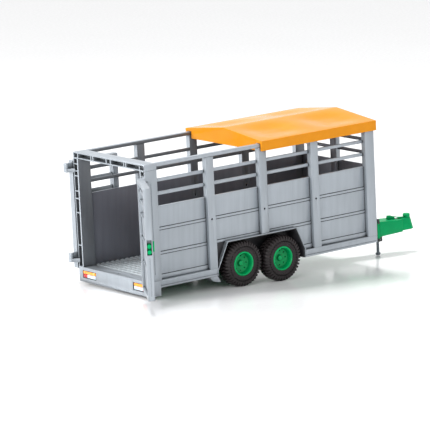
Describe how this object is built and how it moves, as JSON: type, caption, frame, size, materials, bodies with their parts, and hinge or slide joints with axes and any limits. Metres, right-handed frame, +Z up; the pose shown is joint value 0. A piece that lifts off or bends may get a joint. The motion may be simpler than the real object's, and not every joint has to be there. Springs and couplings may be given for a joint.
{
  "type": "toy livestock trailer",
  "caption": "Toy livestock trailer with slatted walls, swinging tail gates, a rocking tandem bogie, a lift-off half roof, a drawbar coupling and a fold-down support leg.",
  "frame": {"origin": "on the ground, midway between the two axles on the centre plane", "axes": "+X forward to the coupling, +Y to the trailer's left side, +Z up; the body stands nose-up on its support leg"},
  "size_m": [0.5609, 0.2401, 0.2058],
  "materials": {
    "grey_plastic": "satin silver-grey moulded plastic",
    "green_plastic": "satin green",
    "orange_plastic": "satin orange",
    "black_plastic": "matt",
    "slate_plastic": "satin",
    "tyre": "matt soft plastic",
    "amber_lens": "gloss",
    "red_lens": "gloss",
    "clear_lens": "gloss",
    "steel": "plain"
  },
  "bodies": {
    "trailer": {"chassis_frame": "green_plastic", "floor_deck": "grey_plastic", "rear_bumper": "grey_plastic", "lamp_housings": "black_plastic", "amber_lenses": "amber_lens", "red_lenses": "red_lens", "clear_lenses": "clear_lens", "rear_header": "grey_plastic", "right_rear_post": "grey_plastic", "left_rear_post": "grey_plastic", "right_posts": "grey_plastic", "left_posts": "grey_plastic", "right_top_rail": "grey_plastic", "left_top_rail": "grey_plastic", "front_top_rail": "grey_plastic", "front_centre_post": "grey_plastic", "right_panels": "grey_plastic", "left_panels": "grey_plastic", "front_panels": "grey_plastic", "right_slats": "grey_plastic", "left_slats": "grey_plastic", "front_slats": "grey_plastic", "right_sills": "grey_plastic", "left_sills": "grey_plastic", "front_sill": "grey_plastic", "right_wheel_arch": "black_plastic", "left_wheel_arch": "black_plastic", "right_mud_flap": "grey_plastic", "left_mud_flap": "grey_plastic", "right_hinge_lugs": "grey_plastic", "left_hinge_lugs": "grey_plastic", "hinge_pins": "steel", "drawbar": "green_plastic", "drawbar_clips": "black_plastic", "coupling_hood": "green_plastic", "coupling_strap": "green_plastic", "leg_bracket": "black_plastic", "screws": "steel"},
    "bogie": {"bogie_arms": "green_plastic", "pivot_shaft": "steel", "axle_pins": "steel"},
    "rear_right_wheel": {"rear_right_rim": "green_plastic", "rear_right_tyre": "tyre"},
    "front_right_wheel": {"front_right_rim": "green_plastic", "front_right_tyre": "tyre"},
    "rear_left_wheel": {"rear_left_rim": "green_plastic", "rear_left_tyre": "tyre"},
    "front_left_wheel": {"front_left_rim": "green_plastic", "front_left_tyre": "tyre"},
    "right_gate": {"right_gate_frame": "grey_plastic", "right_gate_panel": "grey_plastic", "right_gate_slats": "grey_plastic"},
    "left_gate": {"left_gate_frame": "grey_plastic", "left_gate_panel": "grey_plastic", "left_gate_slats": "grey_plastic"},
    "latch": {"gate_latch": "green_plastic"},
    "roof": {"roof_half": "orange_plastic"},
    "hitch_pin": {"coupling_pin": "green_plastic"},
    "leg": {"support_leg": "slate_plastic"}
  },
  "joints": [
    {"name": "bogie_rock", "type": "hinge", "parent": "trailer", "child": "bogie", "pos_m": [0, 0, 0.0205], "axis": [0, 1, 0], "range_deg": [-8.3, 1.6]},
    {"name": "rear_right_spin", "type": "hinge", "parent": "bogie", "child": "rear_right_wheel", "pos_m": [-0.03205, -0.067, 0.0296], "axis": [0, 1, 0], "continuous": true},
    {"name": "front_right_spin", "type": "hinge", "parent": "bogie", "child": "front_right_wheel", "pos_m": [0.03205, -0.067, 0.0296], "axis": [0, 1, 0], "continuous": true},
    {"name": "rear_left_spin", "type": "hinge", "parent": "bogie", "child": "rear_left_wheel", "pos_m": [-0.03205, 0.067, 0.0296], "axis": [0, 1, 0], "continuous": true},
    {"name": "front_left_spin", "type": "hinge", "parent": "bogie", "child": "front_left_wheel", "pos_m": [0.03205, 0.067, 0.0296], "axis": [0, 1, 0], "continuous": true},
    {"name": "right_gate_swing", "type": "hinge", "parent": "trailer", "child": "right_gate", "pos_m": [-0.19348, -0.0813, 0.08687], "axis": [-0.0581, 0, 0.9983], "range_deg": [-149.5, 120.5]},
    {"name": "left_gate_swing", "type": "hinge", "parent": "trailer", "child": "left_gate", "pos_m": [-0.19348, 0.0813, 0.08687], "axis": [-0.0581, 0, 0.9983], "range_deg": [0, 270]},
    {"name": "latch_slide", "type": "slide", "parent": "right_gate", "child": "latch", "axis": [-0.0581, 0, 0.9983], "range_m": [0, 0.004]},
    {"name": "roof_lift", "type": "slide", "parent": "trailer", "child": "roof", "axis": [-0.0581, 0, 0.9983], "range_m": [0, 0.04]},
    {"name": "coupling_pin_lift", "type": "slide", "parent": "trailer", "child": "hitch_pin", "axis": [-0.0581, 0, 0.9983], "range_m": [0, 0.006]},
    {"name": "leg_fold", "type": "hinge", "parent": "trailer", "child": "leg", "pos_m": [0.25203, -0.0044, 0.02214], "axis": [0, -1, 0], "range_deg": [0, 90]}
  ]
}
